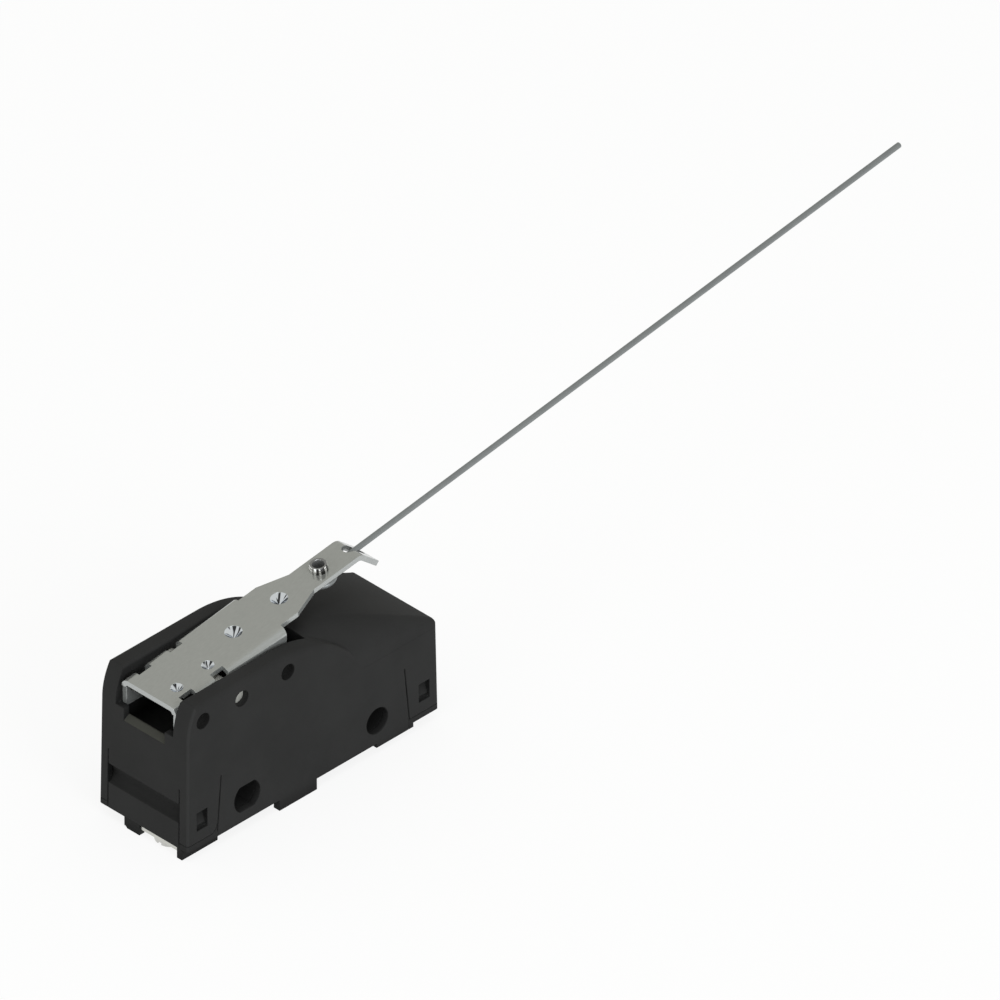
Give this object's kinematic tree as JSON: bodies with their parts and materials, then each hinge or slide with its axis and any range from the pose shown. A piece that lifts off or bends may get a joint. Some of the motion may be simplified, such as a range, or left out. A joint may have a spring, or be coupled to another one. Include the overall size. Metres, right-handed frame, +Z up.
{
  "type": "lever switch",
  "caption": "Snap-action switch in a dark moulded case, with a sheet-metal hinge lever carrying a long straight spring wire, side mounting holes and screw terminals below.",
  "frame": {"origin": "middle of the round mounting hole, on the case's middle plane", "axes": "+X along the case from the lever's pivot end towards the wire's free end, +Y along the mounting holes, +Z up from the terminals to the lever"},
  "size_m": [0.1491, 0.0176, 0.0443],
  "materials": {
    "black_moulding": "matt, dark charcoal",
    "black_moulding_base": "matt, dark charcoal",
    "plunger_moulding": "smooth, brick red",
    "satin_steel": "satin, rolled sheet",
    "spring_wire": "drawn wire",
    "nickel_rivet": "bright",
    "steel_pin": "ground",
    "inner_steel": "pressed sheet",
    "bronze": "rolled strip",
    "contact_metal": "bright contact rivet",
    "spring_steel": "drawn wire",
    "brass_strip": "rolled strip",
    "nickel_screw": "nickel plated"
  },
  "bodies": {
    "housing": {"cover_housing": "black_moulding", "terminal_base": "black_moulding_base", "pivot_pin": "steel_pin", "common_strip": "brass_strip", "closed_strip": "brass_strip", "open_strip": "brass_strip", "closed_contact": "contact_metal", "open_contact": "contact_metal", "common_screw": "nickel_screw", "closed_screw": "nickel_screw", "open_screw": "nickel_screw", "common_washer": "nickel_screw", "closed_washer": "nickel_screw", "open_washer": "nickel_screw"},
    "lever": {"lever_channel": "satin_steel", "lever_wire": "spring_wire", "wire_rivet": "nickel_rivet"},
    "plunger": {"plunger": "plunger_moulding"},
    "rocker": {"snap_rocker": "inner_steel"},
    "contact_arm": {"contact_arm": "bronze", "moving_contact": "contact_metal"},
    "spring": {"snap_spring": "spring_steel"}
  },
  "joints": [
    {"name": "lever_hinge", "type": "hinge", "parent": "housing", "child": "lever", "pos_m": [-0.0262, 0, 0.01695], "axis": [0, 1, 0], "range_deg": [0, 6.6], "stiffness_Nm_per_rad": 0.08, "springref_deg": -8.59},
    {"name": "plunger_slide", "type": "slide", "parent": "housing", "child": "plunger", "axis": [0, 0, -1], "range_m": [0, 0.0008]},
    {"name": "rocker_hinge", "type": "hinge", "parent": "housing", "child": "rocker", "pos_m": [-0.02945, 0, 0.00655], "axis": [0, 1, 0], "range_deg": [0, 4.5]},
    {"name": "contact_arm_hinge", "type": "hinge", "parent": "housing", "child": "contact_arm", "pos_m": [-0.01265, 0, 0.00605], "axis": [0, 1, 0], "range_deg": [0, 2.2]},
    {"name": "spring_hinge", "type": "hinge", "parent": "housing", "child": "spring", "pos_m": [0.00035, 0, 0.00635], "axis": [0, 1, 0], "range_deg": [-3.75, 0]}
  ],
  "couplings": [
    {"joint": "plunger_slide", "follows": "lever_hinge", "m_per_rad": 0.00684},
    {"joint": "rocker_hinge", "follows": "lever_hinge", "ratio": 0.678},
    {"joint": "contact_arm_hinge", "follows": "lever_hinge", "ratio": 0.332},
    {"joint": "spring_hinge", "follows": "lever_hinge", "ratio": -0.566}
  ]
}
